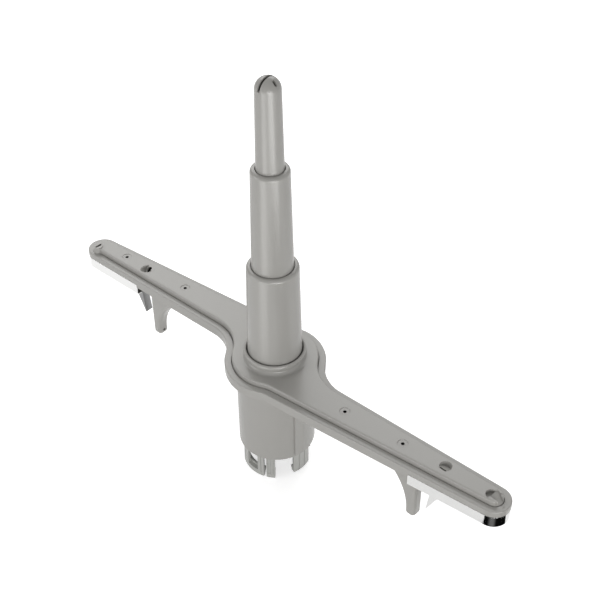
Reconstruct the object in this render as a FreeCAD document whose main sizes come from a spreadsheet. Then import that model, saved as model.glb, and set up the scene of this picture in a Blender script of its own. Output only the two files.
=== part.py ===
import FreeCAD, Part
import Sketcher
import math
import os
import re

# Dishwasher lower spray arm with a three-stage telescoping tower.
# Origin: on the turning axis, at the feet of the bearing claws. X runs along the arm, Z is up.

SIZES = {
    # the two arms, seen from above
    "ArmLength": 480.0,        # tip to tip
    "TipRadius": 13.7,         # round end of each arm
    "HubRadius": 43.2,         # disc that the two arms grow out of
    "LeadReach": 39.7,         # distance of the leading edge from the axis
    "LeadWeb": 20.0,           # hollow corner between the disc and the leading edge
    "WebRadius": 36.0,         # hollow corner between the disc and the trailing edge
    "TrailAngle": 2.3,         # trailing edge against the X axis, degrees
    # levels above the claw feet
    "ArmBase": 109.5,          # lower edge of the arm's side wall
    "RimHeight": 8.8,          # side wall, lower edge to rim
    "StepHeight": 4.8,         # rim to the raised flat top
    "CollarHeight": 9.0,       # flat top to the tip of the tower collar
    "BarrelBottom": 26.5,
    # upper shell
    "ShellWall": 2.2,
    "StepInset": 6.3,          # rim edge to the foot of the raised top
    "StepRound": 1.4,
    "StepCove": 0.8,
    "RimRound": 1.0,
    "CollarRadius": 26.0,
    "CollarBore": 24.2,
    "CollarCove": 3.0,
    "RebateHeight": 3.2,       # side wall left out above each steel shoe
    # water jets in the raised top
    "JetBore": 3.0,
    "JetDish": 9.0,
    "DishDepth": 0.5,
    "WideJetBore": 5.6,
    "WideJetDish": 12.0,
    "WideDishDepth": 1.4,
    "CupBore": 10.0,           # round recess of the slanted jets
    "TipCupBore": 11.0,
    "TipCupSlope": 20.0,       # ramp of the tip jet, degrees
    "CupDepth": 1.8,           # depth at the middle of the recess
    "CupTilt": 24.0,           # slope of the recess floor, degrees
    "SlotWidth": 1.8,
    "BossRadius": 5.2,
    "BossHeight": 1.1,
    "BossShift": 5.8,          # the boss sits over the trailing edge of the raised top
    "NearJet": 87.7,           # distances of the inner jets from the axis
    "HalfJet": 143.7,
    "MidJet": 120.4,
    "WideInset": 74.5,         # distances of the outer jets from the tip
    "CupInset": 57.4,
    "TipCupInset": 17.1,
    "FarInset": 46.2,
    "BossInset": 14.6,
    # lower shell
    "PlateThickness": 2.5,
    "SeamGap": 0.15,
    "BarrelRadius": 33.6,
    "BarrelWall": 2.0,
    "BarrelStep": 0.9,         # shoulder that the tube seat is pushed up against
    "BeadDepth": 0.6,
    "BeadHeight": 2.3,
    "BarrelRound": 1.2,
    "KeyWidth": 8.6,
    "KeyDepth": 2.0,
    "KeyAngle": -12.8,
    # hollow legs with the downward jets
    "LegBack": 3.5,            # middle of the leg to the open end of the shoe
    "LegOffset": 5.0,
    "LegLength": 9.6,
    "LegWidth": 10.5,
    "LegBottom": 50.5,
    "LegShank": 5.0,           # straight part above the foot
    "LegSweep": 50.0,          # radius of the swept side
    "SweepAngle": 52.0,        # turn of the swept side before it runs straight to the arm
    "LegBore": 6.0,
    "LegJet": 3.0,
    "LegRound": 3.4,
    # steel shoes under the arm tips
    "SheetThickness": 0.7,
    "ShoeLength": 79.0,        # tip to the open end, at the leading edge
    "ShoeSlant": 9.5,          # the open end leans outwards towards the trailing edge, degrees
    "ShoeDrop": 8.5,           # below the lower edge of the plastic wall
    "ShoeInset": 0.15,
    "ShoeLip": 4.0,
    "ShoeRound": 1.2,
    "TongueBack": 15.0,        # open end of the shoe to the tongue
    "TongueRoot": 12.5,
    "TongueReach": 31.5,
    "TongueLean": 4.5,
    "TongueWidth": 7.4,
    "TongueOffset": 4.5,
    # bearing that clips to the water outlet
    "SleeveTop": 35.5,
    "SleeveWall": 5.2,
    "ClawThickness": 2.5,
    "HookDepth": 2.7,
    "HookTop": 8.5,
    "HookLand": 2.0,
    "FrameAngle": 53.0,
    "FramePlace": -96.5,
    "TabAngle": 15.1,
    "TabPlace": -57.85,
    "HookTabAngle": 36.8,
    "HookTabPlace": 0.4,
    "HookTabFoot": 3.0,        # the hooked tabs end above the others
    "WindowPlace": -92.8,
    "WindowWidth": 12.0,
    "WindowSill": 5.5,
    "FluteWidth": 0.9,
    "WideFlute": 1.7,
    "FluteDepth": 0.5,
    "RunningGap": 0.3,
    "SnapDepth": 0.6,
    "SnapHeight": 2.4,
    "SealHeight": 3.4,
    "SealDepth": 2.4,
    "SealLip": 0.1,
    "SleeveLand": 2.0,
    "WasherThickness": 1.0,
    "ThrustGap": 0.05,
    # spoked seat that the folded tower stands on
    "SeatThickness": 3.0,
    "SeatRing": 4.5,
    "SpokeWidth": 3.0,
    "SeatHub": 7.0,
    # tower
    "TubeWall": 1.6,
    "LipThickness": 2.0,
    "FlangeHeight": 4.5,
    "TubeDraft": 0.0190,       # growth of a tube's radius per millimetre downwards
    "LowerTop": 219.9,
    "LowerRadius": 21.4,
    "LowerFlange": 26.5,
    "LowerMouth": 17.8,
    "MiddleTop": 311.6,
    "MiddleRadius": 15.4,
    "MiddleFlange": 19.3,
    "MiddleMouth": 11.6,
    "TipTop": 388.0,
    "TipDome": 10.0,
    "TipFlange": 13.3,
    "TipSkirt": 19.0,          # length of the nozzle hidden in the tube below
    "TipWall": 1.4,
    "ShoulderRound": 3.0,
    "StopGap": 0.3,
    "FanSlit": 2.4,
    "FanLean": 8.0,
    "SideSlit": 2.2,
}

# places and radii that follow from other sizes
DERIVED = {
    "WideJet": "ArmLength / 2 - WideInset",
    "CupJet": "ArmLength / 2 - CupInset",
    "TipCupJet": "ArmLength / 2 - TipCupInset",
    "FarJet": "ArmLength / 2 - FarInset",
    "BossJet": "ArmLength / 2 - BossInset",
    "ShoeStart": "ArmLength / 2 - ShoeLength",
    "LegPlace": "ShoeStart - LegBack",
    "TonguePlace": "ShoeStart + TongueBack",
    "SleeveRadius": "BarrelRadius - BarrelWall - BeadDepth - RunningGap",
    "SleeveBore": "SleeveRadius - SleeveWall",
}

document = FreeCAD.newDocument("spray_arm")
sheet = document.addObject("Spreadsheet::Sheet", "sizes")
formulas = {alias: "=" + formula for alias, formula in DERIVED.items()}
for row, (alias, value) in enumerate({**SIZES, **formulas}.items(), start=1):
    sheet.set("A%d" % row, alias)
    sheet.set("B%d" % row, str(value))
    sheet.setAlias("B%d" % row, alias)
document.recompute()

# levels that follow from the sheet
RIM = "ArmBase + RimHeight"
TOP = RIM + " + StepHeight"
COLLAR_TOP = TOP + " + CollarHeight"
REBATE = "ArmBase + RebateHeight"
PLATE_TOP = "ArmBase + PlateThickness"
BARREL_BORE = "BarrelRadius - BarrelWall"
SEAT_BASE = "SleeveTop + WasherThickness + ThrustGap"
SEAT_TOP = SEAT_BASE + " + SeatThickness"
SHOE_BASE = "ArmBase - ShoeDrop"
LOWER_BASE = TOP + " - ShellWall - StopGap - FlangeHeight"
MIDDLE_BASE = "LowerTop - LipThickness - StopGap - FlangeHeight"
TIP_BASE = "MiddleTop - TipSkirt"


def bound(expression):
    """Write each size in an expression as a cell of the sheet."""
    return re.sub(r"[A-Z]\w+", lambda name: "sizes." + name.group(0), expression)


def number(expression):
    """Value of an expression on the sheet's sizes."""
    return float(sheet.evalExpression(bound(expression)))


def bind(thing, place, expression):
    thing.setExpression(place, bound(expression))


def new_body(name):
    body = document.addObject("PartDesign::Body", name)
    body.Label = name
    return body


def plane_of(body, role):
    return next(item for item in body.Origin.OriginFeatures if item.Role == role)


def new_sketch(body, name, role="XY_Plane", height=None):
    """Sketch on one of the body's own planes, lifted along the plane's normal."""
    sketch = body.newObject("Sketcher::SketchObject", name)
    sketch.AttachmentSupport = [(plane_of(body, role), "")]
    sketch.MapMode = "FlatFace"
    if height is not None:
        bind(sketch, "AttachmentOffset.Base.z", height)
    return sketch


def dimension(sketch, kind, parts, expression, unit=""):
    """Add a dimension and tie it to the sheet."""
    value = number(expression)
    if kind == "Angle":
        value = math.radians(value)
    index = sketch.addConstraint(Sketcher.Constraint(kind, *parts, value))
    bind(sketch, "Constraints[%d]" % index, "(%s)%s" % (expression, unit))


def place_point(sketch, geometry, end, across, up):
    """Hold one end of a line or arc at a place given by two expressions."""
    for kind, axis, expression in (("DistanceX", -2, across), ("DistanceY", -1, up)):
        if expression == "0":
            sketch.addConstraint(Sketcher.Constraint("PointOnObject", geometry, end, axis))
        else:
            dimension(sketch, kind, (-1, 1, geometry, end), expression)


def polygon(sketch, corners):
    """Closed straight-sided outline through corners given as pairs of expressions."""
    points = [FreeCAD.Vector(number(across), number(up), 0) for across, up in corners]
    lines = [
        sketch.addGeometry(Part.LineSegment(start, points[(place + 1) % len(points)]))
        for place, start in enumerate(points)
    ]
    for place, line in enumerate(lines):
        following = lines[(place + 1) % len(lines)]
        sketch.addConstraint(Sketcher.Constraint("Coincident", line, 2, following, 1))
    for line, (across, up) in zip(lines, corners):
        place_point(sketch, line, 1, across, up)


def circle(sketch, radius, across="0", up="0"):
    centre = FreeCAD.Vector(number(across), number(up), 0)
    ring = sketch.addGeometry(Part.Circle(centre, FreeCAD.Vector(0, 0, 1), number(radius)))
    dimension(sketch, "Radius", (ring,), radius)
    if across == "0" and up == "0":
        sketch.addConstraint(Sketcher.Constraint("Coincident", ring, 3, -1, 1))
    else:
        place_point(sketch, ring, 3, across, up)


def finish_feature(body, feature, what):
    document.recompute()
    if "Invalid" in feature.State or "Error" in feature.State:
        raise RuntimeError("%s in %s did not build" % (what, body.Name))
    return feature


def pad(body, sketch, length, name, middle=False):
    feature = body.newObject("PartDesign::Pad", name)
    feature.Profile = sketch
    bind(feature, "Length", length)
    feature.Midplane = middle
    return finish_feature(body, feature, name)


def pocket(body, sketch, length, name, middle=False, upwards=True):
    """Cut a sketch out of the body and make sure that it removed something."""
    before = body.Shape.Volume
    feature = body.newObject("PartDesign::Pocket", name)
    feature.Profile = sketch
    bind(feature, "Length", length)
    feature.Reversed = upwards
    feature.Midplane = middle
    finish_feature(body, feature, name)
    if feature.Shape.Volume > before - 1e-3:
        raise RuntimeError("%s in %s cut nothing" % (name, body.Name))
    return feature


def revolve(body, sketch, name):
    feature = body.newObject("PartDesign::Revolution", name)
    feature.Profile = sketch
    feature.ReferenceAxis = (sketch, ["V_Axis"])
    feature.Angle = 360
    return finish_feature(body, feature, name)


def pattern(body, features, name, axis, count=2):
    """Repeat features round an axis of a sketch."""
    feature = body.newObject("PartDesign::PolarPattern", name)
    feature.Originals = features
    feature.Axis = axis
    feature.Angle = 360
    feature.Occurrences = count
    body.Tip = feature
    return finish_feature(body, feature, name)


def fillet(body, base, wanted, radius, name):
    """Round the edges of base that answer wanted."""
    edges = ["Edge%d" % place for place, edge in enumerate(base.Shape.Edges, start=1) if wanted(edge)]
    if not edges:
        raise RuntimeError("%s in %s found no edge" % (name, body.Name))
    feature = body.newObject("PartDesign::Fillet", name)
    feature.Base = (base, edges)
    bind(feature, "Radius", radius)
    return finish_feature(body, feature, name)


def flat_at(level, tolerance=0.01):
    """Test for edges that lie level at a height given by an expression."""
    height = number(level)

    def wanted(edge):
        box = edge.BoundBox
        return abs(box.ZMin - height) < tolerance and abs(box.ZMax - height) < tolerance

    return wanted


def ring_at(level, radius, tolerance=0.05):
    """Test for level edges that circle the axis at one radius."""
    level_edge = flat_at(level)
    distance = number(radius)

    def wanted(edge):
        if not level_edge(edge):
            return False
        ends = [edge.valueAt(edge.FirstParameter), edge.valueAt(edge.LastParameter)]
        return all(abs(math.hypot(end.x, end.y) - distance) < tolerance for end in ends)

    return wanted


def arm_places(inset):
    """Corner points of the right half of the arm's outline, moved inwards by inset."""
    tip_x = number("ArmLength / 2 - TipRadius")
    tip = number("TipRadius - (%s)" % inset)
    hub = number("HubRadius - (%s)" % inset)
    reach = number("LeadReach - (%s)" % inset)
    bend = number("LeadWeb + (%s)" % inset)
    web = number("WebRadius + (%s)" % inset)
    lead = math.asin((reach - tip) / tip_x)
    trail = math.radians(number("TrailAngle"))
    lead_normal = FreeCAD.Vector(math.sin(lead), -math.cos(lead), 0)
    trail_normal = FreeCAD.Vector(-math.sin(trail), math.cos(trail), 0)
    tip_centre = FreeCAD.Vector(tip_x, 0, 0)
    trail_start = tip_centre + trail_normal * tip

    def hollow_centre(normal, along, edge_distance, corner):
        """Centre of a hollow corner that touches an edge of the arm and the disc."""
        run = math.sqrt((hub + corner) ** 2 - (edge_distance + corner) ** 2)
        return normal * (edge_distance + corner) + along * run

    lead_along = FreeCAD.Vector(math.cos(lead), math.sin(lead), 0)
    trail_along = FreeCAD.Vector(math.cos(trail), math.sin(trail), 0)
    bend_centre = hollow_centre(lead_normal, lead_along, reach, bend)
    web_centre = hollow_centre(trail_normal, trail_along, trail_start.dot(trail_normal), web)
    return {
        "bend_hub": bend_centre * (hub / (hub + bend)),
        "bend_centre": bend_centre,
        "lead_bend": bend_centre - lead_normal * bend,
        "lead_tip": tip_centre + lead_normal * tip,
        "tip_centre": tip_centre,
        "tip_end": tip_centre + FreeCAD.Vector(tip, 0, 0),
        "trail_tip": trail_start,
        "trail_web": web_centre - trail_normal * web,
        "web_centre": web_centre,
        "web_hub": web_centre * (hub / (hub + web)),
    }


def arc_between(centre, start, end, clockwise=False):
    """Arc about a centre, from start to end, counter-clockwise unless told otherwise."""
    if clockwise:
        start, end = end, start
    ring = Part.Circle(centre, FreeCAD.Vector(0, 0, 1), (start - centre).Length)
    first = math.atan2(start.y - centre.y, start.x - centre.x)
    last = math.atan2(end.y - centre.y, end.x - centre.x)
    if last <= first:
        last += 2 * math.pi
    return Part.ArcOfCircle(ring, first, last)


def arm_outline(sketch, inset):
    """S-shaped outline of both arms and the hub disc, moved inwards by inset."""
    half = arm_places(inset)
    origin = FreeCAD.Vector(0, 0, 0)
    halves = []
    for side in (1, -1):
        at = {name: point * side for name, point in half.items()}
        bend = sketch.addGeometry(arc_between(at["bend_centre"], at["bend_hub"], at["lead_bend"], True))
        lead = sketch.addGeometry(Part.LineSegment(at["lead_bend"], at["lead_tip"]))
        tip = sketch.addGeometry(arc_between(at["tip_centre"], at["lead_tip"], at["trail_tip"]))
        trail = sketch.addGeometry(Part.LineSegment(at["trail_tip"], at["trail_web"]))
        web = sketch.addGeometry(arc_between(at["web_centre"], at["trail_web"], at["web_hub"], True))
        opposite_bend = half["bend_hub"] * -side
        disc = sketch.addGeometry(arc_between(origin, at["web_hub"], opposite_bend))
        halves.append((bend, lead, tip, trail, web, disc))
    for place, (bend, lead, tip, trail, web, disc) in enumerate(halves):
        next_bend = halves[1 - place][0]
        joins = (
            (bend, 1, lead, 1),
            (lead, 2, tip, 1),
            (tip, 2, trail, 1),
            (trail, 2, web, 2),
            (web, 1, disc, 1),
            (disc, 2, next_bend, 2),
        )
        for join in joins:
            sketch.addConstraint(Sketcher.Constraint("Tangent", *join))
        sketch.addConstraint(Sketcher.Constraint("Coincident", disc, 3, -1, 1))
        sketch.addConstraint(Sketcher.Constraint("PointOnObject", tip, 3, -1))
        side = "" if place == 0 else "-"
        dimension(sketch, "DistanceX", (-1, 1, tip, 3), side + "(ArmLength / 2 - TipRadius)")
        dimension(sketch, "Distance", (-1, 1, lead), "LeadReach - (%s)" % inset)
        dimension(sketch, "Radius", (bend,), "LeadWeb + (%s)" % inset)
        dimension(sketch, "Radius", (disc,), "HubRadius - (%s)" % inset)
        dimension(sketch, "Radius", (tip,), "TipRadius - (%s)" % inset)
        dimension(sketch, "Radius", (web,), "WebRadius + (%s)" % inset)
        heading = "TrailAngle - 180" if place == 0 else "TrailAngle"
        dimension(sketch, "Angle", (trail,), heading, " * 1deg")


LEAD_ANGLE = "asin((LeadReach - TipRadius) / (ArmLength / 2 - TipRadius))"


def tip_outline(sketch, inset, start):
    """Outline of one arm tip from a slanted cut that meets the leading edge at start."""
    at = arm_places(inset)
    lead_run = at["lead_tip"] - at["lead_bend"]
    lead_cut = at["lead_bend"] + lead_run * ((number(start) - at["lead_bend"].x) / lead_run.x)
    trail_run = at["trail_tip"] - at["trail_web"]
    slant = math.radians(number("ShoeSlant"))
    square = FreeCAD.Vector(math.cos(slant), -math.sin(slant), 0)
    trail_part = (lead_cut - at["trail_web"]).dot(square) / trail_run.dot(square)
    trail_cut = at["trail_web"] + trail_run * trail_part
    lead = sketch.addGeometry(Part.LineSegment(lead_cut, at["lead_tip"]))
    tip = sketch.addGeometry(arc_between(at["tip_centre"], at["lead_tip"], at["trail_tip"]))
    trail = sketch.addGeometry(Part.LineSegment(at["trail_tip"], trail_cut))
    cross = sketch.addGeometry(Part.LineSegment(trail_cut, lead_cut))
    sketch.addConstraint(Sketcher.Constraint("Tangent", lead, 2, tip, 1))
    sketch.addConstraint(Sketcher.Constraint("Tangent", tip, 2, trail, 1))
    sketch.addConstraint(Sketcher.Constraint("Coincident", trail, 2, cross, 1))
    sketch.addConstraint(Sketcher.Constraint("Coincident", cross, 2, lead, 1))
    sketch.addConstraint(Sketcher.Constraint("PointOnObject", tip, 3, -1))
    dimension(sketch, "DistanceX", (-1, 1, tip, 3), "ArmLength / 2 - TipRadius")
    dimension(sketch, "Radius", (tip,), "TipRadius - (%s)" % inset)
    dimension(sketch, "DistanceX", (-1, 1, lead, 1), start)
    dimension(sketch, "Angle", (trail,), "TrailAngle - 180", " * 1deg")
    dimension(sketch, "Angle", (lead,), LEAD_ANGLE + " / 1deg", " * 1deg")
    dimension(sketch, "Angle", (cross,), "-90 - ShoeSlant", " * 1deg")


def leading_edge(across):
    """Expression for the right arm's leading edge at a distance from the axis."""
    return "((sin(%s) * (%s) - LeadReach) / cos(%s))" % (LEAD_ANGLE, across, LEAD_ANGLE)


def centreline(across):
    """Expression for the middle of an arm at a distance from the axis."""
    back = "TipRadius / cos(TrailAngle * 1deg)"
    back += " - (ArmLength / 2 - TipRadius - (%s)) * tan(TrailAngle * 1deg)" % across
    return "((%s + %s) / 2)" % (leading_edge(across), back)


def stand(feature, across, along, level, axis=(0, 0, 1), angle="0"):
    """Give a solid its place and its turn about one axis."""
    turn = FreeCAD.Rotation(FreeCAD.Vector(*axis), 1.0)
    feature.Placement = FreeCAD.Placement(FreeCAD.Vector(0, 0, 0), turn)
    bind(feature, "Placement.Base.x", across)
    bind(feature, "Placement.Base.y", along)
    bind(feature, "Placement.Base.z", level)
    bind(feature, "Placement.Rotation.Angle", "(%s) * 1deg" % angle)
    return feature


def round_solid(body, kind, name, radius, length, top_radius=None):
    """Cylinder, or a cone where a second radius is given; kind is Additive or Subtractive."""
    if top_radius is None:
        feature = body.newObject("PartDesign::%sCylinder" % kind, name)
        bind(feature, "Radius", radius)
    else:
        feature = body.newObject("PartDesign::%sCone" % kind, name)
        bind(feature, "Radius1", radius)
        bind(feature, "Radius2", top_radius)
    bind(feature, "Height", length)
    return feature


def radial_block(body, kind, name, inner, outer, width, base, height, angle):
    """Block that runs outwards from the axis at an angle, centred on that direction."""
    feature = body.newObject("PartDesign::%sBox" % kind, name)
    bind(feature, "Length", "%s - (%s)" % (outer, inner))
    bind(feature, "Width", width)
    bind(feature, "Height", height)
    cosine = "cos((%s) * 1deg)" % angle
    sine = "sin((%s) * 1deg)" % angle
    across = "(%s) * %s + (%s) / 2 * %s" % (inner, cosine, width, sine)
    along = "(%s) * %s - (%s) / 2 * %s" % (inner, sine, width, cosine)
    stand(feature, across, along, base, angle=angle)
    return finish_feature(body, feature, name)


def plain_jet(body, name, across, along, bore, dish, floor, depth):
    """Round hole in a shallow dish with a slanted wall."""
    recess = round_solid(body, "Subtractive", name + "_dish", floor + " / 2", depth, dish + " / 2")
    finish_feature(body, stand(recess, across, along, TOP + " - " + depth), name)
    hole = round_solid(body, "Subtractive", name, bore + " / 2", "ShellWall * 3")
    finish_feature(body, stand(hole, across, along, TOP + " - ShellWall * 2"), name)


def slot(body, name, across, along, length, width, depth):
    """Straight opening from a depth under the top upwards, centred on a place."""
    cut = body.newObject("PartDesign::SubtractiveBox", name)
    bind(cut, "Length", length)
    bind(cut, "Width", width)
    bind(cut, "Height", depth + " + StepHeight")
    across = "(%s) - (%s) / 2" % (across, length)
    along = "(%s) - (%s) / 2" % (along, width)
    stand(cut, across, along, TOP + " - " + depth)
    finish_feature(body, cut, name)


def cup_jet(body, name, across, along, bore, axis):
    """Round recess whose floor slants down, away from the foot of the given axis."""
    depth = "CupDepth + (%s) / 2 * tan(CupTilt * 1deg)" % bore
    wall = round_solid(body, "Additive", name + "_block", "(%s) / 2 + ShellWall / 4" % bore, depth)
    stand(wall, across, along, TOP + " - ShellWall / 2 - " + depth.replace("+", "-"))
    finish_feature(body, wall, name)
    recess = round_solid(body, "Subtractive", name + "_recess", bore + " / 2", "CupDepth * 5")
    stand(recess, across, along, TOP + " - CupDepth", axis, "-CupTilt")
    finish_feature(body, recess, name)


def ramp_jet(body, across, along):
    """Half-round mouth at the arm's tip, with a ramp that rises from it towards the end."""
    depth = "(ShellWall * 2)"
    block = round_solid(body, "Additive", "tip_jet_block", "TipCupBore / 2 + ShellWall / 4",
                        depth + " - ShellWall / 2")
    finish_feature(body, stand(block, across, along, TOP + " - " + depth), "tip_jet_block")
    mouth = round_solid(body, "Subtractive", "tip_jet_mouth", "TipCupBore / 2", depth + " * 1.5")
    bind(mouth, "Angle", "180")
    stand(mouth, across, along, TOP + " - " + depth + " * 1.2", angle="90")
    finish_feature(body, mouth, "tip_jet_mouth")
    ramp = body.newObject("PartDesign::SubtractiveBox", "tip_jet_ramp")
    bind(ramp, "Length", "TipCupBore * 1.6")
    bind(ramp, "Width", "TipCupBore * 0.8")
    bind(ramp, "Height", "StepHeight")
    stand(ramp, "%s - 0.1" % across, "%s - TipCupBore * 0.4" % along, TOP + " - ShellWall * 1.4",
          (0, 1, 0), "-TipCupSlope")
    finish_feature(body, ramp, "tip_jet_ramp")


def build_upper_shell():
    """Top half of the arm: rim, raised flat top, tower collar and the upward jets."""
    body = new_body("upper_shell")
    rim_sketch = new_sketch(body, "rim_outline", height="ArmBase")
    arm_outline(rim_sketch, "0")
    pad(body, rim_sketch, "RimHeight", "rim")
    step_sketch = new_sketch(body, "step_outline", height=RIM)
    arm_outline(step_sketch, "StepInset")
    step = pad(body, step_sketch, "StepHeight", "raised_top")
    crown = fillet(body, step, flat_at(TOP), "StepRound", "top_round")
    level = flat_at(RIM)

    def crease(edge):
        """A level edge at the rim with material beside it and above it."""
        if not level(edge):
            return False
        middle = edge.valueAt((edge.FirstParameter + edge.LastParameter) / 2)
        near = 0.2
        for turn in range(8):
            side = FreeCAD.Vector(near * math.cos(turn * math.pi / 4), near * math.sin(turn * math.pi / 4), near)
            if crown.Shape.isInside(middle + side, 1e-6, False):
                return True
        return False

    cove = fillet(body, crown, crease, "StepCove", "step_cove")
    rim_round = fillet(body, cove, flat_at(RIM), "RimRound", "rim_round")
    collar_sketch = new_sketch(body, "collar_outline", height=TOP)
    circle(collar_sketch, "CollarRadius")
    collar = pad(body, collar_sketch, "CollarHeight", "collar")
    fillet(body, collar, ring_at(TOP, "CollarRadius"), "CollarCove", "collar_cove")
    hollow_sketch = new_sketch(body, "rim_hollow_outline", height="ArmBase")
    arm_outline(hollow_sketch, "ShellWall")
    pocket(body, hollow_sketch, "RimHeight - ShellWall", "rim_hollow")
    channel_sketch = new_sketch(body, "channel_outline", height="ArmBase")
    arm_outline(channel_sketch, "StepInset + ShellWall")
    pocket(body, channel_sketch, "RimHeight + StepHeight - ShellWall", "channel")
    bore_sketch = new_sketch(body, "tower_bore_outline", height="ArmBase")
    circle(bore_sketch, "CollarBore")
    pocket(body, bore_sketch, COLLAR_TOP + " - ArmBase", "tower_bore")
    rebate_sketch = new_sketch(body, "rebate_outline", height="ArmBase")
    slanted = "ShoeStart - SeamGap + (%s - " + leading_edge("ShoeStart") + ") * tan(ShoeSlant * 1deg)"
    for side in ("", "-"):
        polygon(rebate_sketch, [
            ("%s(%s)" % (side, slanted % "-HubRadius"), "-HubRadius" if side == "" else "HubRadius"),
            (side + "ArmLength", "-HubRadius" if side == "" else "HubRadius"),
            (side + "ArmLength", "HubRadius" if side == "" else "-HubRadius"),
            ("%s(%s)" % (side, slanted % "HubRadius"), "HubRadius" if side == "" else "-HubRadius"),
        ])
    pocket(body, rebate_sketch, "RebateHeight", "rebates")
    for name, side, place in (
        ("jet_near", "", "NearJet"),
        ("jet_half", "", "HalfJet"),
        ("jet_mid", "-", "MidJet"),
        ("jet_far", "-", "FarJet"),
    ):
        plain_jet(body, name, side + place, side + centreline(place), "JetBore", "JetDish",
                  "(JetDish - DishDepth)", "DishDepth")
    plain_jet(body, "jet_wide", "-WideJet", "-" + centreline("WideJet"), "WideJetBore", "WideJetDish",
              "WideJetBore", "WideDishDepth")
    cup_jet(body, "inner_cup", "CupJet", centreline("CupJet"), "CupBore", (1, 0, 0))
    slot(body, "inner_cup_slot", "CupJet", centreline("CupJet") + " - CupBore / 4", "CupBore * 0.6", "SlotWidth",
         "(ShellWall * 2 + CupDepth * 2)")
    ramp_jet(body, "TipCupJet", centreline("TipCupJet"))
    boss_along = "-" + centreline("BossJet") + " - BossShift"
    boss = round_solid(body, "Additive", "tip_boss", "BossRadius", "BossHeight + StepHeight + ShellWall / 2",
                       "BossRadius - BossHeight")
    stand(boss, "-BossJet", boss_along, RIM + " - ShellWall / 2")
    finish_feature(body, boss, "tip_boss")
    slot(body, "tip_boss_slot", "-BossJet", boss_along + " + SlotWidth / 2", "SlotWidth", "BossRadius * 1.1",
         "ShellWall * 1.3")
    return body


def turned(name, corners):
    """Body made by turning one closed half section about the axis."""
    body = new_body(name)
    sketch = new_sketch(body, name + "_section", role="XZ_Plane")
    polygon(sketch, corners)
    revolve(body, sketch, name + "_turned")
    return body


def build_lower_shell():
    """Bottom plate of the arm with the bearing barrel and the two hollow legs."""
    body = new_body("lower_shell")
    plate_sketch = new_sketch(body, "plate_outline", height="ArmBase")
    arm_outline(plate_sketch, "ShellWall + SeamGap")
    pad(body, plate_sketch, "PlateThickness", "plate")
    barrel_sketch = new_sketch(body, "barrel_outline", height="BarrelBottom")
    circle(barrel_sketch, "BarrelRadius")
    barrel = pad(body, barrel_sketch, "ArmBase - BarrelBottom", "barrel")
    fillet(body, barrel, flat_at("BarrelBottom"), "BarrelRound", "barrel_round")
    leg_sketch = new_sketch(body, "leg_outline", role="XZ_Plane")
    leg_profile(leg_sketch)
    bind(leg_sketch, "AttachmentOffset.Base.z", "LegOffset")
    leg = pad(body, leg_sketch, "LegWidth", "leg", middle=True)
    duct_sketch = new_sketch(body, "duct_outline", height="LegBottom + ShellWall * 1.5")
    circle(duct_sketch, "LegBore / 2", "LegPlace", "-LegOffset")
    duct = pocket(body, duct_sketch, PLATE_TOP + " - LegBottom", "duct")
    jet_sketch = new_sketch(body, "leg_jet_outline", role="YZ_Plane", height="LegPlace")
    circle(jet_sketch, "LegJet / 2", "-LegOffset", "LegBottom + ShellWall * 1.5 + LegJet / 2")
    jet = pocket(body, jet_sketch, "LegLength", "leg_jet", upwards=False)
    both = pattern(body, [leg, duct, jet], "legs", (duct_sketch, ["N_Axis"]))
    fillet(body, both, leg_edge, "LegRound", "leg_rounds")
    radial_block(body, "Additive", "key", BARREL_BORE, "BarrelRadius + KeyDepth", "KeyWidth",
                 "BarrelBottom + KeyWidth / 2", "ArmBase - BarrelBottom - KeyWidth / 2", "KeyAngle")
    bore_sketch = new_sketch(body, "barrel_bore", height="BarrelBottom")
    circle(bore_sketch, BARREL_BORE + " - BarrelStep")
    pocket(body, bore_sketch, PLATE_TOP + " - BarrelBottom", "bore")
    seat_sketch = new_sketch(body, "seat_bore", height="BarrelBottom + BeadHeight")
    circle(seat_sketch, BARREL_BORE)
    pocket(body, seat_sketch, SEAT_TOP + " - BarrelBottom - BeadHeight", "seat_step")
    mouth_sketch = new_sketch(body, "mouth_bore", height="BarrelBottom")
    circle(mouth_sketch, BARREL_BORE + " - BeadDepth")
    pocket(body, mouth_sketch, "BeadHeight", "mouth")
    return body


def leg_edge(edge):
    """True for the outer edges of both legs, but not for those across the swept side."""
    box = edge.BoundBox
    side = math.copysign(1, box.Center.x)
    half_width = number("LegWidth") / 2
    offset = number("LegOffset") * side
    on_leg = abs(box.Center.x) > number("HubRadius") and box.ZMin < number("ArmBase") - 0.1
    outer = all(abs(abs(corner.Point.y + offset) - half_width) < 1e-3 for corner in edge.Vertexes)
    across = box.YLength > 1 and box.ZMin > number("LegBottom") + 0.1
    return on_leg and outer and not across


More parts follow.
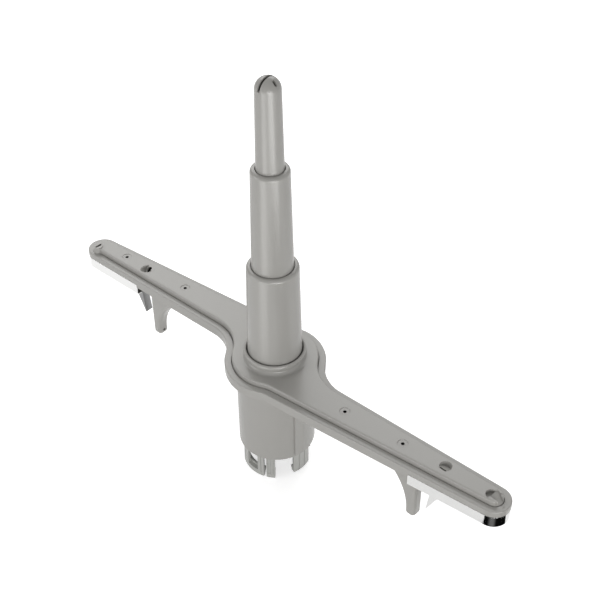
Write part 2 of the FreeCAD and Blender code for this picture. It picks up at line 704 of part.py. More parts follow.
def leg_profile(sketch):
    """Side view of the front leg: straight outside, swept inside, flat foot."""
    outer = "LegPlace + LegLength / 2"
    inner = "LegPlace - LegLength / 2"
    shank = "LegBottom + LegShank"
    end_across = "(" + inner + " - LegSweep * (1 - cos(SweepAngle * 1deg)))"
    end_up = "(" + shank + " + LegSweep * sin(SweepAngle * 1deg))"
    start = end_across + " - (ArmBase - " + end_up + ") * tan(SweepAngle * 1deg)"
    corners = [
        (inner, shank),
        (inner, "LegBottom"),
        (outer, "LegBottom"),
        (outer, "ArmBase"),
        (start, "ArmBase"),
        (end_across, end_up),
    ]
    points = [FreeCAD.Vector(number(across), number(up), 0) for across, up in corners]
    lines = [sketch.addGeometry(Part.LineSegment(one, two)) for one, two in zip(points, points[1:])]
    centre = FreeCAD.Vector(number(inner + " - LegSweep"), number(shank), 0)
    bend = sketch.addGeometry(arc_between(centre, points[0], points[-1]))
    for first, second in zip(lines, lines[1:]):
        sketch.addConstraint(Sketcher.Constraint("Coincident", first, 2, second, 1))
    sketch.addConstraint(Sketcher.Constraint("Coincident", lines[-1], 2, bend, 2))
    sketch.addConstraint(Sketcher.Constraint("Coincident", bend, 1, lines[0], 1))
    for line, (across, up) in zip(lines, corners):
        place_point(sketch, line, 1, across, up)
    place_point(sketch, lines[-1], 2, end_across, end_up)
    dimension(sketch, "Radius", (bend,), "LegSweep")


def build_shoe(name, turn):
    """Pressed steel shoe under one arm tip, open towards the hub, with its lanced tongue."""
    body = new_body(name)
    skin_sketch = new_sketch(body, "skin_outline", height=SHOE_BASE)
    tip_outline(skin_sketch, "ShoeInset", "ShoeStart")
    skin = pad(body, skin_sketch, "ShoeDrop + RebateHeight", "skin")
    rounded = fillet(body, skin, lambda edge: flat_at(SHOE_BASE)(edge) and not across_arm(edge),
                     "ShoeRound", "bottom_round")
    tongue_sketch = new_sketch(body, "tongue_outline", role="XZ_Plane")
    tongue_profile(tongue_sketch, "0")
    bind(tongue_sketch, "AttachmentOffset.Base.z", "TongueOffset")
    pad(body, tongue_sketch, "TongueWidth", "tongue", middle=True)
    cup_sketch = new_sketch(body, "cup_outline", height=SHOE_BASE + " + SheetThickness")
    tip_outline(cup_sketch, "ShoeInset + SheetThickness", "ShoeStart - SheetThickness")
    pocket(body, cup_sketch, "ShoeDrop + RebateHeight - SheetThickness * 2", "cup")
    mouth_sketch = new_sketch(body, "mouth_outline", height=SHOE_BASE + " + ShoeDrop")
    tip_outline(mouth_sketch, "ShoeLip", "ShoeStart - SheetThickness")
    pocket(body, mouth_sketch, "RebateHeight * 2", "mouth")
    scoop_sketch = new_sketch(body, "scoop_outline", role="XZ_Plane")
    tongue_profile(scoop_sketch, "SheetThickness")
    bind(scoop_sketch, "AttachmentOffset.Base.z", "TongueOffset")
    pocket(body, scoop_sketch, "TongueWidth - SheetThickness * 2", "scoop", middle=True)
    body.Placement = FreeCAD.Placement(
        FreeCAD.Vector(0, 0, 0), FreeCAD.Rotation(FreeCAD.Vector(0, 0, 1), turn))
    return body


def across_arm(edge):
    """True for the straight edge at the open end of a shoe."""
    return isinstance(edge.Curve, Part.Line) and edge.BoundBox.YLength > edge.BoundBox.XLength


def tongue_profile(sketch, wall):
    """Side view of the tongue, or of the hollow in it when a wall is given."""
    if wall == "0":
        polygon(sketch, [
            ("TonguePlace - TongueLean", SHOE_BASE + " - TongueReach"),
            ("TonguePlace - TongueLean + 0.8", SHOE_BASE + " - TongueReach"),
            ("TonguePlace + TongueRoot", SHOE_BASE + " + SheetThickness"),
            ("TonguePlace", SHOE_BASE + " + SheetThickness"),
        ])
        return
    polygon(sketch, [
        ("TonguePlace - TongueLean * 0.75 + (%s) * 1.1" % wall, SHOE_BASE + " - TongueReach * 0.75"),
        ("TonguePlace + TongueRoot - (%s) * 1.1" % wall, SHOE_BASE + " + (%s) * 2" % wall),
        ("TonguePlace + (%s) * 1.1" % wall, SHOE_BASE + " + (%s) * 2" % wall),
    ])


def build_sleeve():
    """Bearing sleeve: closed ring inside the barrel and the claws that clip to the outlet."""
    body = turned("bearing_sleeve", [
        ("SleeveBore", "BarrelBottom"),
        ("SleeveRadius", "BarrelBottom"),
        ("SleeveRadius", "BarrelBottom + BeadHeight + RunningGap"),
        ("SleeveRadius + SnapDepth", "BarrelBottom + BeadHeight + RunningGap"),
        ("SleeveRadius + SnapDepth", "BarrelBottom + BeadHeight + RunningGap + SnapHeight"),
        ("SleeveRadius", "SleeveTop - SnapDepth"),
        ("SleeveRadius", "SleeveTop"),
        ("SleeveBore", "SleeveTop"),
        ("SleeveBore", "SleeveTop - SleeveLand"),
        ("SleeveBore + SealDepth", "SleeveTop - SleeveLand"),
        ("SleeveBore + SealDepth", "SleeveTop - SleeveLand - SealHeight"),
        ("SleeveBore", "SleeveTop - SleeveLand - SealHeight"),
    ])
    claw_sketch = new_sketch(body, "claw_section", role="XZ_Plane")
    polygon(claw_sketch, [
        ("SleeveRadius - ClawThickness", "0"),
        ("SleeveRadius", "0"),
        ("SleeveRadius", "BarrelBottom"),
        ("SleeveRadius - ClawThickness", "BarrelBottom"),
        ("SleeveRadius - ClawThickness", "HookTop"),
        ("SleeveRadius - ClawThickness - HookDepth", "HookTop"),
        ("SleeveRadius - ClawThickness - HookDepth", "HookTop - HookLand"),
    ])
    revolve(body, claw_sketch, "claw_ring")
    gaps = (
        ("FramePlace + FrameAngle / 2", "TabPlace - TabAngle / 2"),
        ("TabPlace + TabAngle / 2", "HookTabPlace - HookTabAngle / 2"),
        ("HookTabPlace + HookTabAngle / 2", "FramePlace + 180 - FrameAngle / 2"),
    )
    gap_sketch = new_sketch(body, "claw_gaps_outline")
    for first, last in gaps:
        for turn in ("0", "180"):
            wedge = []
            for angle in (first, "((%s) + (%s)) / 2" % (first, last), last):
                heading = "((%s) + %s) * 1deg" % (angle, turn)
                wedge.append(("BarrelRadius * 1.5 * cos(%s)" % heading, "BarrelRadius * 1.5 * sin(%s)" % heading))
            for angle in (last, first):
                heading = "((%s) + %s) * 1deg" % (angle, turn)
                wedge.append(("SleeveBore / 2 * cos(%s)" % heading, "SleeveBore / 2 * sin(%s)" % heading))
            polygon(gap_sketch, wedge)
    pocket(body, gap_sketch, "BarrelBottom", "claw_gaps")
    foot_sketch = new_sketch(body, "hooked_feet_outline")
    for turn in ("0", "180"):
        corners = [("0", "0")]
        for part in ("- HookTabAngle", "", "+ HookTabAngle"):
            heading = "(HookTabPlace %s + %s) * 1deg" % (part, turn)
            corners.append(("BarrelRadius * 2 * cos(%s)" % heading, "BarrelRadius * 2 * sin(%s)" % heading))
        polygon(foot_sketch, corners)
    pocket(body, foot_sketch, "HookTabFoot", "hooked_feet")
    for turn in ("", " + 180"):
        side = "front" if turn == "" else "rear"
        radial_block(body, "Subtractive", "window_" + side, "SleeveRadius - ClawThickness * 1.3",
                     "SleeveRadius + 1", "WindowWidth", "WindowSill", "BarrelBottom - WindowSill",
                     "WindowPlace" + turn)
        flutes = (
            ("FramePlace - FrameAngle * 0.38", "FluteWidth"),
            ("FramePlace + FrameAngle * 0.4", "FluteWidth"),
            ("TabPlace - TabAngle * 0.3", "FluteWidth"),
            ("TabPlace", "FluteWidth"),
            ("TabPlace + TabAngle * 0.3", "FluteWidth"),
            ("HookTabPlace - HookTabAngle * 0.22", "WideFlute"),
            ("HookTabPlace + HookTabAngle * 0.13", "WideFlute"),
        )
        for place, (angle, width) in enumerate(flutes):
            radial_block(body, "Subtractive", "flute_%s_%d" % (side, place), "SleeveRadius - FluteDepth",
                         "SleeveRadius + 1", width, "HookTop / 2", "BarrelBottom - HookTop / 2",
                         angle + turn)
    return body


def build_seat():
    """Spoked ring inside the barrel that the folded tower stands on."""
    body = turned("tower_seat", [
        (BARREL_BORE + " - SeamGap - SeatRing", SEAT_BASE),
        (BARREL_BORE + " - SeamGap", SEAT_BASE),
        (BARREL_BORE + " - SeamGap", SEAT_TOP),
        (BARREL_BORE + " - SeamGap - SeatRing", SEAT_TOP),
    ])
    hub_sketch = new_sketch(body, "seat_hub_outline", height=SEAT_BASE)
    circle(hub_sketch, "SeatHub")
    for turn in range(4):
        radial_block(body, "Additive", "spoke_%d" % turn, "0", BARREL_BORE + " - SeamGap - SeatRing / 2",
                     "SpokeWidth", SEAT_BASE, "SeatThickness", str(turn * 90 + 45))
    pad(body, hub_sketch, "SeatThickness", "seat_hub")
    eye_sketch = new_sketch(body, "seat_eye_outline", height=SEAT_BASE)
    circle(eye_sketch, "SeatHub - SpokeWidth")
    pocket(body, eye_sketch, "SeatThickness", "seat_eye")
    return body


def build_tube(name, top, base, radius, mouth, flange):
    """Drafted tower tube with a lip at the top and a stop flange at the bottom."""
    grown = "%s + TubeDraft * ((%s) - (%s))" % (radius, top, base)
    flange_top = base + " + FlangeHeight"
    body = turned(name, [
        (mouth, top),
        (radius, top),
        ("%s + TubeDraft * ((%s) - (%s))" % (radius, top, flange_top), flange_top),
        (flange, flange_top),
        (flange, base),
        (grown + " - TubeWall", base),
        (radius + " - TubeWall + TubeDraft * LipThickness", top + " - LipThickness"),
        (mouth, top + " - LipThickness"),
    ])
    turned_tube = body.Tip
    fillet(body, turned_tube, ring_at(top, radius), "ShoulderRound", name + "_shoulder")
    return body


def build_tip():
    """Nozzle at the top of the tower: domed tube with fan slits."""
    body = new_body("tip_nozzle")
    sketch = new_sketch(body, "tip_section", role="XZ_Plane")
    dome_level = "TipTop - TipDome"
    grown = "TipDome + TubeDraft * 0.86 * (%s - (%s))"
    flange_top = TIP_BASE + " + FlangeHeight"
    corners = [
        ("TipDome", dome_level),
        (grown % (dome_level, flange_top), flange_top),
        ("TipFlange", flange_top),
        ("TipFlange", TIP_BASE),
        ((grown % (dome_level, TIP_BASE)) + " - TipWall", TIP_BASE),
        ("TipDome - TipWall", dome_level),
    ]
    points = [FreeCAD.Vector(number(across), number(up), 0) for across, up in corners]
    lines = [sketch.addGeometry(Part.LineSegment(one, two)) for one, two in zip(points, points[1:])]
    centre = FreeCAD.Vector(0, number(dome_level), 0)
    outer_top = FreeCAD.Vector(0, number("TipTop"), 0)
    inner_top = FreeCAD.Vector(0, number("TipTop - TipWall"), 0)
    outer = sketch.addGeometry(arc_between(centre, points[0], outer_top))
    inner = sketch.addGeometry(arc_between(centre, points[-1], inner_top))
    crown = sketch.addGeometry(Part.LineSegment(inner_top, outer_top))
    for first, second in zip(lines, lines[1:]):
        sketch.addConstraint(Sketcher.Constraint("Coincident", first, 2, second, 1))
    for join in ((outer, 1, lines[0], 1), (inner, 1, lines[-1], 2), (inner, 2, crown, 1), (crown, 2, outer, 2)):
        sketch.addConstraint(Sketcher.Constraint("Coincident", *join))
    for line, (across, up) in zip(lines, corners):
        place_point(sketch, line, 1, across, up)
    place_point(sketch, lines[-1], 2, *corners[-1])
    place_point(sketch, outer, 3, "0", dome_level)
    place_point(sketch, inner, 3, "0", dome_level)
    sketch.addConstraint(Sketcher.Constraint("PointOnObject", outer, 2, -2))
    sketch.addConstraint(Sketcher.Constraint("PointOnObject", inner, 2, -2))
    revolve(body, sketch, "tip_turned")
    slit = body.newObject("PartDesign::SubtractiveBox", "fan_slit")
    bind(slit, "Length", "FanSlit")
    bind(slit, "Width", "TipDome * 2")
    bind(slit, "Height", "TipDome * 1.2")
    stand(slit, "-FanSlit / 2", "-TipDome * 1.25", dome_level + " + TipDome * 0.1", (1, 0, 0), "FanLean")
    finish_feature(body, slit, "fan_slit")
    side = body.newObject("PartDesign::SubtractiveBox", "side_slit")
    bind(side, "Length", "TipDome * 0.55")
    bind(side, "Width", "SideSlit")
    bind(side, "Height", "TipDome")
    stand(side, "TipDome * 0.45", "-SideSlit / 2", dome_level + " + TipDome * 0.5")
    finish_feature(body, side, "side_slit")
    return body


bodies = [
    build_sleeve(),
    turned("bearing_washer", [
        ("SleeveBore + WasherThickness / 2", "SleeveTop"),
        ("SleeveRadius", "SleeveTop"),
        ("SleeveRadius", "SleeveTop + WasherThickness"),
        ("SleeveBore + WasherThickness / 2", "SleeveTop + WasherThickness"),
    ]),
    turned("inlet_seal", [
        ("SleeveBore + SealLip", "SleeveTop - SleeveLand - SealHeight"),
        ("SleeveBore + SealDepth - SealLip", "SleeveTop - SleeveLand - SealHeight"),
        ("SleeveBore + SealDepth - SealLip", "SleeveTop - SleeveLand"),
        ("SleeveBore + SealLip", "SleeveTop - SleeveLand"),
    ]),
    build_seat(),
    build_lower_shell(),
    build_upper_shell(),
    build_shoe("steel_shoe_right", 0),
    build_shoe("steel_shoe_left", 180),
    build_tube("lower_tube", "LowerTop", LOWER_BASE, "LowerRadius", "LowerMouth", "LowerFlange"),
    build_tube("middle_tube", "MiddleTop", MIDDLE_BASE, "MiddleRadius", "MiddleMouth", "MiddleFlange"),
    build_tip(),
]

document.recompute()
for item in document.Objects:
    if "Invalid" in item.State or "Error" in item.State:
        raise RuntimeError("%s did not build" % item.Name)
for body in bodies:
    if body.Shape.isNull() or not body.Shape.isValid():
        raise RuntimeError("%s has no valid shape" % body.Label)

os.makedirs("parts", exist_ok=True)
for body in bodies:
    body.Shape.exportStep("parts/%s.step" % body.Label)
    box = body.Shape.BoundBox
    print(body.Label, "solids", len(body.Shape.Solids), "volume %.0f" % body.Shape.Volume,
          "x %.1f..%.1f y %.1f..%.1f z %.1f..%.1f" % (
              box.XMin, box.XMax, box.YMin, box.YMax, box.ZMin, box.ZMax))
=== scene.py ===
from math import asin, cos, radians, sin, tan

import bmesh
import bpy
from mathutils import Matrix, Vector


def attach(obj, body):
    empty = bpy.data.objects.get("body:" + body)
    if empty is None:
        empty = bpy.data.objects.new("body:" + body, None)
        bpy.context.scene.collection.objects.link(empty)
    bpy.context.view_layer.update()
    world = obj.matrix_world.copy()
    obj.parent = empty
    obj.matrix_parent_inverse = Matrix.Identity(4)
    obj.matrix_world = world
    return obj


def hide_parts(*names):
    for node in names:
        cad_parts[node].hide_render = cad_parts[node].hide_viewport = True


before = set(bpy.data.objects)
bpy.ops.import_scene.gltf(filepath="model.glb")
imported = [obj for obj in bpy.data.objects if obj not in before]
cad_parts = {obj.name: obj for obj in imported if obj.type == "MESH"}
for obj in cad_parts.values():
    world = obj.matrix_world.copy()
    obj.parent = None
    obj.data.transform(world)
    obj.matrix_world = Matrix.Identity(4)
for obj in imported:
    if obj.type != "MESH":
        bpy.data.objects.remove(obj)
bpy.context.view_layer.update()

# The studio. The arm stands on its claws on a white table, seen from above its front corner.
# A large soft lamp stands behind it on the left, and two weaker ones fill in from the front.
lens = bpy.data.cameras.new("lens")
lens.lens = 69.64
lens.clip_end = 20
camera = bpy.data.objects.new("camera", lens)
camera.location = (0.50563, -0.50901, 0.79468)
camera.rotation_euler = (radians(49.525), radians(0.347), radians(42.802))
bpy.context.scene.collection.objects.link(camera)
bpy.context.scene.camera = camera
bpy.context.scene.view_settings.view_transform = "Standard"


class Value:
    """The output of a node. Sums and products of it add the Math nodes that they stand for."""

    def __init__(self, nodes, socket):
        self.nodes = nodes
        self.socket = socket

    def combined(self, operation, first, second):
        return self.nodes.node("ShaderNodeMath", {"operation": operation}, {0: first, 1: second})

    def __add__(self, other):
        return self.combined("ADD", self, other)

    __radd__ = __add__

    def __mul__(self, other):
        return self.combined("MULTIPLY", self, other)

    __rmul__ = __mul__

    def __sub__(self, other):
        return self.combined("SUBTRACT", self, other)

    def __rsub__(self, other):
        return self.combined("SUBTRACT", other, self)

    def rise(self, low, high):
        """A soft step from 0 at low to 1 at high."""
        return self.nodes.node("ShaderNodeMapRange", {"interpolation_type": "SMOOTHSTEP"}, {
            "Value": self, "From Min": low, "From Max": high})


class Nodes:
    """The node tree of a material or of the world."""

    def __init__(self, tree):
        self.tree = tree

    def node(self, kind, settings=None, inputs=None, output=0):
        """Add a node. Its settings come first, then the values or links of its sockets."""
        made = self.tree.nodes.new(kind)
        for name, setting in (settings or {}).items():
            setattr(made, name, setting)
        for name, given in (inputs or {}).items():
            self.feed(made.inputs[name], given)
        return Value(self, made.outputs[output])

    def feed(self, socket, given):
        if isinstance(given, Value):
            self.tree.links.new(given.socket, socket)
        else:
            socket.default_value = given


class Finish(Nodes):
    """A material: its shader, and the nodes that feed it."""

    def __init__(self, name):
        self.material = bpy.data.materials.new(name)
        self.material.use_nodes = True
        super().__init__(self.material.node_tree)
        self.shader = self.tree.nodes["Principled BSDF"]

    def wear(self, **inputs):
        for name, given in inputs.items():
            self.feed(self.shader.inputs[name.replace("_", " ")], given)
        return self.material


def flat_sheet(name, centre, width, depth, finish):
    """A flat sheet that belongs to the studio."""
    form = bmesh.new()
    bmesh.ops.create_grid(form, x_segments=1, y_segments=1, size=0.5)
    bmesh.ops.scale(form, vec=(width, depth, 1), verts=form.verts)
    bmesh.ops.translate(form, vec=centre, verts=form.verts)
    mesh = bpy.data.meshes.new(name)
    form.to_mesh(mesh)
    form.free()
    mesh.materials.append(finish.material)
    laid = bpy.data.objects.new(name, mesh)
    bpy.context.scene.collection.objects.link(laid)
    return laid


# The table is white to the camera. In reflections it also glows in brighter fields, painted reflections which
# make the upright light bands on the tower's tubes. Heading runs from 0 to 1 round the table, reach is in
# metres.
table = Finish("white_table")
seen = table.node("ShaderNodeLightPath", output="Is Camera Ray")
mirrored = table.node("ShaderNodeLightPath", output="Is Glossy Ray")
spot = table.node("ShaderNodeTexCoord", output="Object")
heading = table.node("ShaderNodeTexGradient", {"gradient_type": "RADIAL"}, {"Vector": spot})
reach = table.node("ShaderNodeVectorMath", {"operation": "LENGTH"}, {0: spot}, output="Value")
left_field = heading.rise(0.195, 0.235) * (1 - heading.rise(0.28, 0.325)) * reach.rise(0.15, 0.24)
right_field = heading.rise(0.36, 0.40) * (1 - heading.rise(0.46, 0.51)) * reach.rise(0.22, 0.31)
far_field = heading.rise(0.21, 0.25) * (1 - heading.rise(0.50, 0.55)) * reach.rise(0.35, 0.42)
white = seen * (0.58 + reach.rise(0.8, 2.2) * 0.35)
# Painted reflections: these fields glow to mirrors only, and light nothing.
bands = mirrored * (0.28 + left_field * 2.0 + right_field * 4.6 + far_field * 1.2)
table.wear(Base_Color=(0.86, 0.86, 0.86, 1), Roughness=0.9, Specular_IOR_Level=0.1,
           Emission_Color=white + bands, Emission_Strength=1.0)
flat_sheet("table_top", (0, 0, 0), width=12, depth=12, finish=table)

# A painted reflection: a dark sheet lies on the table beside the right tip, with a paler glowing patch. Only
# mirrors show it, as a black zone with a paler spot on the right shoe's steel.
reflection_card = Finish("painted_reflection_sheet")
place = reflection_card.node("ShaderNodeTexCoord", output="Object")
glow_patch = reflection_card.node("ShaderNodeVectorMath", {"operation": "DISTANCE"}, {0: place, 1: (0.290, -0.085, 0)},
                  output="Value")
# The paler patch glows: a painted highlight in the steel's reflection.
reflection_card.wear(Base_Color=(0.004, 0.004, 0.004, 1), Roughness=1.0, Specular_IOR_Level=0.0,
          Emission_Color=(1 - glow_patch.rise(0.01, 0.05)) * 0.14, Emission_Strength=1.0)
painted_reflection_sheet = flat_sheet("painted_reflection_sheet", (0.312, -0.121, 0.0005), width=0.216, depth=0.358, finish=reflection_card)
painted_reflection_sheet.visible_camera = False
painted_reflection_sheet.visible_diffuse = False
painted_reflection_sheet.visible_shadow = False

# The air around the table is white to the camera, and a plain grey light to everything else.
studio = bpy.data.worlds.new("studio")
studio.use_nodes = True
bpy.context.scene.world = studio
sky = Nodes(studio.node_tree)
light = studio.node_tree.nodes["Background"]
sky.feed(light.inputs["Color"], (1, 1, 1, 1))
sky.feed(light.inputs["Strength"], 0.42 + 0.58 * sky.node("ShaderNodeLightPath", output="Is Camera Ray"))


def soft_lamp(name, place, aim, size, power):
    lamp = bpy.data.lights.new(name, "AREA")
    lamp.shape = "RECTANGLE"
    lamp.size, lamp.size_y = size
    lamp.energy = power
    holder = bpy.data.objects.new(name, lamp)
    holder.location = place
    holder.rotation_euler = (Vector(aim) - Vector(place)).to_track_quat("-Z", "Y").to_euler()
    bpy.context.scene.collection.objects.link(holder)


soft_lamp("lamp_back", (-0.86, 0.80, 1.15), aim=(0, 0, 0.12), size=(1.7, 1.0), power=13)
soft_lamp("lamp_left", (-1.0, -1.35, 0.55), aim=(0, 0, 0.15), size=(0.9, 0.7), power=6)
soft_lamp("lamp_right", (1.3, -0.9, 0.35), aim=(0, 0, 0.1), size=(0.9, 0.5), power=9)

# The upper half of the arm, injection moulded in grey polypropylene in one with the tower's collar and
# the water jets, and welded to the lower half. A groove runs round the foot of its raised top, and the
# collar ends in a rolled lip. The mould's spark-eroded skin leaves a fine even grain.
RIM = 0.1183
TOP = 0.1231
SHELL_WALL = 0.0022
GROOVE_DEPTH = 0.0022
GROOVE_FROM = RIM + 0.00002
GROOVE_TO = RIM + 0.00075
TIP_ROUND = 0.0137
TIP_CENTRE = 0.2263
LEAD_REACH = 0.0397
TRAIL_ANGLE = radians(2.3)
SMALL_JETS = (0.0877, 0.1437, -0.1204, -0.1938)
SMALL_JET_RADIUS = 0.0015
JET_FLARE = 2.2
COLLAR_FOOT = 0.0290
COLLAR_RADIUS = 0.0260
COLLAR_BORE = 0.0242
COLLAR_TOP = 0.1321
COLLAR_COVE = ((0.0277, TOP + 0.0001), (0.0265, TOP + 0.0005), (0.0256, TOP + 0.0013), (0.0251, TOP + 0.0024))
COLLAR_LIP = (
    (0.0249, 0.1272), (0.0256, 0.1270), (0.0262, 0.1275), (0.02655, 0.1286), (0.0266, 0.1300),
    (0.02635, 0.1311), (0.0258, 0.1318), (0.0251, 0.13215), (0.0246, 0.1320),
)
SHARP = radians(32)


def settle(form, mesh):
    """Merge a form's doubles, join its flat faces and leave it in a mesh, smooth between sharp edges."""
    bmesh.ops.remove_doubles(form, verts=form.verts, dist=2e-6)
    bmesh.ops.dissolve_limit(form, angle_limit=radians(0.4), verts=form.verts, edges=form.edges)
    for face in form.faces:
        face.smooth = True
    form.to_mesh(mesh)
    form.free()
    mesh.set_sharp_from_angle(angle=SHARP)


def skin(node, body, material):
    """A finished skin over one CAD node."""
    form = bmesh.new()
    form.from_mesh(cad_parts[node].data)
    mesh = bpy.data.meshes.new(node + "_skin")
    settle(form, mesh)
    mesh.materials.clear()
    mesh.materials.append(material)
    piece = bpy.data.objects.new(node + "_skin", mesh)
    bpy.context.scene.collection.objects.link(piece)
    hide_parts(node)
    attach(piece, body)
    return piece


def ease_edges(piece, width=0.00025):
    """Ease a piece's sharp edges, and shade its flat faces flat."""
    ease = piece.modifiers.new("eased_edges", "BEVEL")
    ease.width = width
    ease.segments = 2
    ease.limit_method = "ANGLE"
    ease.angle_limit = SHARP
    ease.harden_normals = True
    piece.modifiers.new("flat_faces", "WEIGHTED_NORMAL").keep_sharp = True


def moulded(name, colour):
    """Matte moulded plastic. Its colour drifts a little, and its grain is under a millimetre."""
    finish = Finish(name)
    place = finish.node("ShaderNodeTexCoord", output="Object")
    flow = finish.node("ShaderNodeTexNoise", inputs={"Vector": place, "Scale": 14.0, "Detail": 3.0})
    speck = finish.node("ShaderNodeTexNoise", inputs={"Vector": place, "Scale": 1400.0, "Detail": 2.0})
    tone = finish.node("ShaderNodeMix", {"data_type": "RGBA"}, {
        "Factor": flow * 0.7 + speck * 0.3,
        "A": (*[part * 0.94 for part in colour], 1),
        "B": (*[part * 1.05 for part in colour], 1),
    }, output="Result")
    grain = finish.node("ShaderNodeBump", inputs={"Strength": 0.05, "Distance": 0.0002, "Height": speck})
    finish.wear(Base_Color=tone, Roughness=0.24 + (flow - 0.5) * 0.12, Normal=grain, Specular_IOR_Level=0.45)
    return finish.material


def arm_middle(across):
    """Middle of an arm's width at a distance from the axis, between its leading and trailing edges."""
    lead = asin((LEAD_REACH - TIP_ROUND) / TIP_CENTRE)
    leading = (sin(lead) * across - LEAD_REACH) / cos(lead)
    trailing = TIP_ROUND / cos(TRAIL_ANGLE) - (TIP_CENTRE - across) * tan(TRAIL_ANGLE)
    return (leading + trailing) / 2


def jet_place(across):
    return Vector((across, arm_middle(abs(across)) * (1 if across > 0 else -1)))


def open_ring(form, radius, level):
    """The open edges that lie on a circle round the axis."""
    def on_circle(corner):
        return abs(corner.co.xy.length - radius) < 2e-4 and abs(corner.co.z - level) < 2e-4

    return [edge for edge in form.edges if edge.is_boundary and all(map(on_circle, edge.verts))]


def corners_of(edges):
    return {corner for edge in edges for corner in edge.verts}


arm_grey = moulded("arm_plastic", (0.380, 0.372, 0.352))
upper = skin("upper_shell", "arm", arm_grey)
shell = bmesh.new()
shell.from_mesh(upper.data)
for corner in shell.verts:
    if GROOVE_FROM < corner.co.z < GROOVE_TO and corner.normal.z > 0.15:
        corner.co.z -= GROOVE_DEPTH
for across in SMALL_JETS:
    middle = jet_place(across)
    for corner in shell.verts:
        out = corner.co.xy - middle
        if abs(corner.co.z - (TOP - SHELL_WALL)) < 1e-5 and out.length < SMALL_JET_RADIUS + 0.0001:
            corner.co.xy = middle + out * JET_FLARE

# The CAD's plain collar makes way for one with a cove at its foot and a rolled lip.
plain_collar = []
for face in shell.faces:
    radii = [corner.co.xy.length for corner in face.verts]
    levels = [corner.co.z for corner in face.verts]
    above_top = min(levels) > TOP - 1e-6 and max(levels) > TOP + 2e-6 and max(radii) < COLLAR_FOOT + 0.0001
    if above_top and (min(radii) > COLLAR_RADIUS - 0.0003 or min(levels) > COLLAR_TOP - 0.0001):
        plain_collar.append(face)
bmesh.ops.delete(shell, geom=plain_collar, context="FACES")
collar = open_ring(shell, COLLAR_FOOT, TOP)
bore = open_ring(shell, COLLAR_BORE, COLLAR_TOP)
for corner in corners_of(bore):
    corner.co.z = COLLAR_TOP - 0.0005
for radius, level in COLLAR_COVE + COLLAR_LIP:
    made = bmesh.ops.extrude_edge_only(shell, edges=collar)
    collar = [part for part in made["geom"] if isinstance(part, bmesh.types.BMEdge) and part.is_boundary]
    for corner in corners_of(collar):
        corner.co = (*(corner.co.xy.normalized() * radius), level)
bmesh.ops.bridge_loops(shell, edges=collar + bore)
bmesh.ops.recalc_face_normals(shell, faces=shell.faces)
for face in shell.faces:
    face.smooth = True
shell.to_mesh(upper.data)
shell.free()


def block_over(corners, low, high):
    """A straight-sided block over an outline. Its underside is level, or has one height per corner."""
    heights = low if isinstance(low, tuple) else (low,) * len(corners)
    form = bmesh.new()
    base = form.faces.new([form.verts.new((*corner, height)) for corner, height in zip(corners, heights)])
    for part in bmesh.ops.extrude_face_region(form, geom=[base])["geom"]:
        if isinstance(part, bmesh.types.BMVert):
            part.co.z = high
    bmesh.ops.recalc_face_normals(form, faces=form.faces)
    return form


def round_block(place, aim, radius, back, length):
    """A round block along a direction, which starts a way back from a place."""
    form = bmesh.new()
    bmesh.ops.create_cone(form, cap_ends=True, segments=64, radius1=radius, radius2=radius, depth=length)
    bmesh.ops.translate(form, vec=(0, 0, length / 2 - back), verts=form.verts)
    turn = Vector(aim).to_track_quat("Z", "Y").to_matrix().to_4x4()
    bmesh.ops.transform(form, matrix=Matrix.Translation(Vector(place)) @ turn, verts=form.verts)
    return form


def carve(piece, steps):
    """Join blocks to a piece and cut others out of it, one after the other."""
    blocks = []
    for operation, form in steps:
        mesh = bpy.data.meshes.new("block")
        form.to_mesh(mesh)
        form.free()
        mesh.materials.append(piece.data.materials[0])
        block = bpy.data.objects.new("block", mesh)
        bpy.context.scene.collection.objects.link(block)
        blocks.append(block)
        cut = piece.modifiers.new("cut", "BOOLEAN")
        cut.operation = operation
        cut.solver = "MANIFOLD"
        cut.object = block
    shaped = bpy.data.meshes.new_from_object(piece.evaluated_get(bpy.context.evaluated_depsgraph_get()))
    piece.modifiers.clear()
    piece.data = shaped
    for block in blocks:
        bpy.data.objects.remove(block)
    form = bmesh.new()
    form.from_mesh(shaped)
    settle(form, shaped)


# The wide jet of the left arm is a round bowl whose floor leans back, with a hole square to that floor.
# A plug closes the CAD's plainer cup first, a pad thickens the wall below, and a hollow thins the floor.
DOWN = (0, 0, -1)
UP = (0, 0, 1)
WIDE_LEAN = (-0.3, -0.6, 0.74)
wide = jet_place(-0.1655)
wide_floor = (*wide, TOP - 0.0014)
wide_back = (wide.x - 0.0032, wide.y + 0.0006, TOP - 0.0022)
wide_pad = round_block((*wide, TOP - 0.0021), DOWN, radius=0.0065, back=0, length=0.0040)
wide_plug = round_block((*wide, TOP - 0.0001), DOWN, radius=0.0056, back=0, length=0.0022)
wide_bowl = round_block(wide_floor, WIDE_LEAN, radius=0.0051, back=0, length=0.009)
wide_hollow = round_block(wide_back, WIDE_LEAN, radius=0.0040, back=0.009, length=0.0078)
wide_hole = round_block(wide_floor, WIDE_LEAN, radius=0.0029, back=0.007, length=0.009)

# The boss at the left tip has one broad slot across it.
boss_slot = block_over([(-0.2267, -0.0086), (-0.2245, -0.0090), (-0.2235, -0.0033), (-0.2257, -0.0029)],
                       low=TOP - 0.0040, high=TOP + 0.0060)

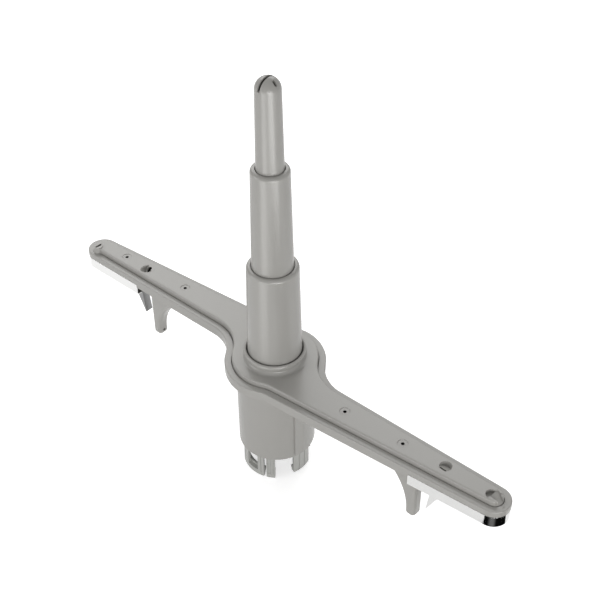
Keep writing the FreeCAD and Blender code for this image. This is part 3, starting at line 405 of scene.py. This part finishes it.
# The jet at the right tip is a half-round mouth, which opens onto a ramp that falls to the rim. Two plugs
# close the CAD's plainer jet first.
MOUTH_X = 0.2246
MOUTH_Y = -0.0014
MOUTH_RADIUS = 0.0048
CUP_X = 0.2229
tip_plug = round_block((CUP_X, arm_middle(CUP_X), TOP - 0.0041), UP, radius=0.0057, back=0, length=0.0041)
ramp_plug = block_over([(0.2228, -0.0057), (0.2318, -0.0057), (0.2318, 0.0034), (0.2228, 0.0034)],
                       low=TOP - 0.0038, high=TOP)
ramp = block_over(
    [(MOUTH_X, -0.0040), (0.2370, -0.0043), (0.2370, -0.0012), (0.2262, 0.0052), (MOUTH_X, 0.0046)],
    low=(TOP - 0.0010, RIM - 0.0004, RIM - 0.0004, TOP - 0.0012, TOP - 0.0010), high=TOP + 0.004)
half_round = [(MOUTH_X - MOUTH_RADIUS * sin(radians(turn)), MOUTH_Y - MOUTH_RADIUS * cos(radians(turn)))
              for turn in range(0, 181, 6)]
mouth_front = (MOUTH_X + 0.0001, MOUTH_Y - MOUTH_RADIUS)
mouth_rear = (MOUTH_X + 0.0001, MOUTH_Y + MOUTH_RADIUS)
mouth = block_over([mouth_front, *half_round, mouth_rear], low=TOP - 0.0036, high=TOP + 0.004)

carve(upper, [
    ("UNION", wide_pad), ("UNION", wide_plug), ("DIFFERENCE", wide_bowl), ("DIFFERENCE", wide_hollow),
    ("DIFFERENCE", wide_hole), ("DIFFERENCE", boss_slot), ("UNION", tip_plug), ("UNION", ramp_plug),
    ("DIFFERENCE", ramp), ("DIFFERENCE", mouth),
])
ease_edges(upper, 0.0002)

# The lower half, moulded in one with the barrel, its key rib and the two hollow legs. It closes the
# arm from beneath, and the bearing and the folded tower sit in its barrel.
ease_edges(skin("lower_shell", "arm", arm_grey), 0.0004)

# The tower's seat, a spoked ring of the same plastic that is pushed up inside the barrel. The folded
# tubes land on it, and the water rises between its spokes.
ease_edges(skin("tower_seat", "arm", arm_grey))

# The tower: two drafted tubes and a domed nozzle with fan slits, each moulded in one. Water lifts them,
# and each hangs by a flange behind the lip of the one below.
ease_edges(skin("lower_tube", "lower_stage", arm_grey))
ease_edges(skin("middle_tube", "middle_stage", arm_grey))
ease_edges(skin("tip_nozzle", "tip_stage", arm_grey))

# The bearing: a sleeve with springy claws that clip onto the water outlet, and a washer that the arm
# turns on. Both are moulded in a paler, harder grey plastic.
bearing_grey = moulded("bearing_plastic", (0.45, 0.452, 0.43))
ease_edges(skin("bearing_sleeve", "bearing", bearing_grey), 0.0002)
ease_edges(skin("bearing_washer", "bearing", bearing_grey))

# The inlet seal, a moulded ring of black rubber that is snapped into a groove of the sleeve's bore.
# It closes the gap round the water outlet.
rubber = Finish("seal_rubber").wear(Base_Color=(0.03, 0.03, 0.03, 1), Roughness=0.6)
ease_edges(skin("inlet_seal", "bearing", rubber))

# The steel shoes, pressed from polished stainless sheet and crimped onto the lower half under each tip.
# A fine seam shows above them. The faces of the lanced tongue that turn to the hub take a rougher copy of the
# steel whose much darker colour is painted shade.
TONGUE_TOP = 0.1005
SHOE_TOP = 0.1127
SEAM = 0.0006
polished = Finish("shoe_steel").wear(Base_Color=(0.86, 0.86, 0.85, 1), Metallic=1.0, Roughness=0.08)
# A rougher steel whose darker colour is painted shade.
dull_shaded_steel = Finish("shoe_steel_painted_shade").wear(Base_Color=(0.30, 0.30, 0.30, 1), Metallic=1.0, Roughness=0.35)
for name, side in (("steel_shoe_right", 1), ("steel_shoe_left", -1)):
    shoe = skin(name, "arm", polished)
    shoe.data.materials.append(dull_shaded_steel)
    pressing = bmesh.new()
    pressing.from_mesh(shoe.data)
    # Painted shade: the tongue's faces that turn to the hub take the darker steel.
    for face in pressing.faces:
        turned_in = face.normal.y * side > 0.5 or face.normal.x * side < -0.5
        if turned_in and face.calc_center_median().z < TONGUE_TOP:
            face.material_index = 1
    for corner in pressing.verts:
        if corner.co.z > SHOE_TOP - 0.00005:
            corner.co.z -= SEAM
    pressing.to_mesh(shoe.data)
    pressing.free()
    ease_edges(shoe, 0.0002)
